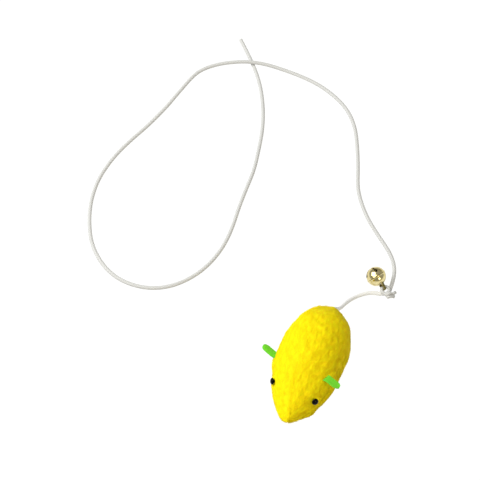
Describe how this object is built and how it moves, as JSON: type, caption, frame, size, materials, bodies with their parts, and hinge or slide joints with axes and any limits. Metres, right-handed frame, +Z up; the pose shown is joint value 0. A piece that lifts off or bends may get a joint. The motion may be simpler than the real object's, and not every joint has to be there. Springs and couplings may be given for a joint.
{
  "type": "stuffed mouse cat toy",
  "caption": "Stuffed plush mouse with felt ears and bead eyes, its tail cord tied to a long elastic cord with a jingle bell in the knot.",
  "frame": {"origin": "on the plane that the mouse lies on, below the middle of its body's length on the body's centre line", "axes": "+Z up from the plane, +Y along the body from the nose to the tail, +X to the right of a reader who looks along +Y"},
  "size_m": [0.1658, 0.2056, 0.0269],
  "materials": {
    "plush": "short-pile yellow plush",
    "filling": "loose polyester fibre",
    "felt": "matte green felt with cut edges",
    "bead": "polished black",
    "cord": "white braided elastic",
    "brass": "bright pale plating over stamped sheet",
    "steel": "plain tumbled steel"
  },
  "bodies": {
    "mouse": {"cover_left": "plush", "cover_right": "plush", "belly_panel": "plush", "stuffing": "filling", "ear_left": "felt", "ear_right": "felt", "eye_left": "bead", "eye_right": "bead", "tail_anchor_knot": "cord", "tail_cord": "cord", "joining_knot": "cord", "elastic_cord": "cord"},
    "bell": {"bell_dome": "brass", "bell_cup": "brass", "bell_loop": "brass"},
    "pellet": {"bell_pellet": "steel"}
  },
  "joints": [
    {"name": "bell_swing", "type": "hinge", "parent": "mouse", "child": "bell", "pos_m": [0.0186, 0.0557, 0.0027], "axis": [0.5402, 0.8415, 0], "range_deg": [0, 80]},
    {"name": "pellet_roll", "type": "hinge", "parent": "bell", "child": "pellet", "pos_m": [0.01357, 0.05893, 0.005], "axis": [0.8415, -0.5402, 0], "continuous": true}
  ]
}
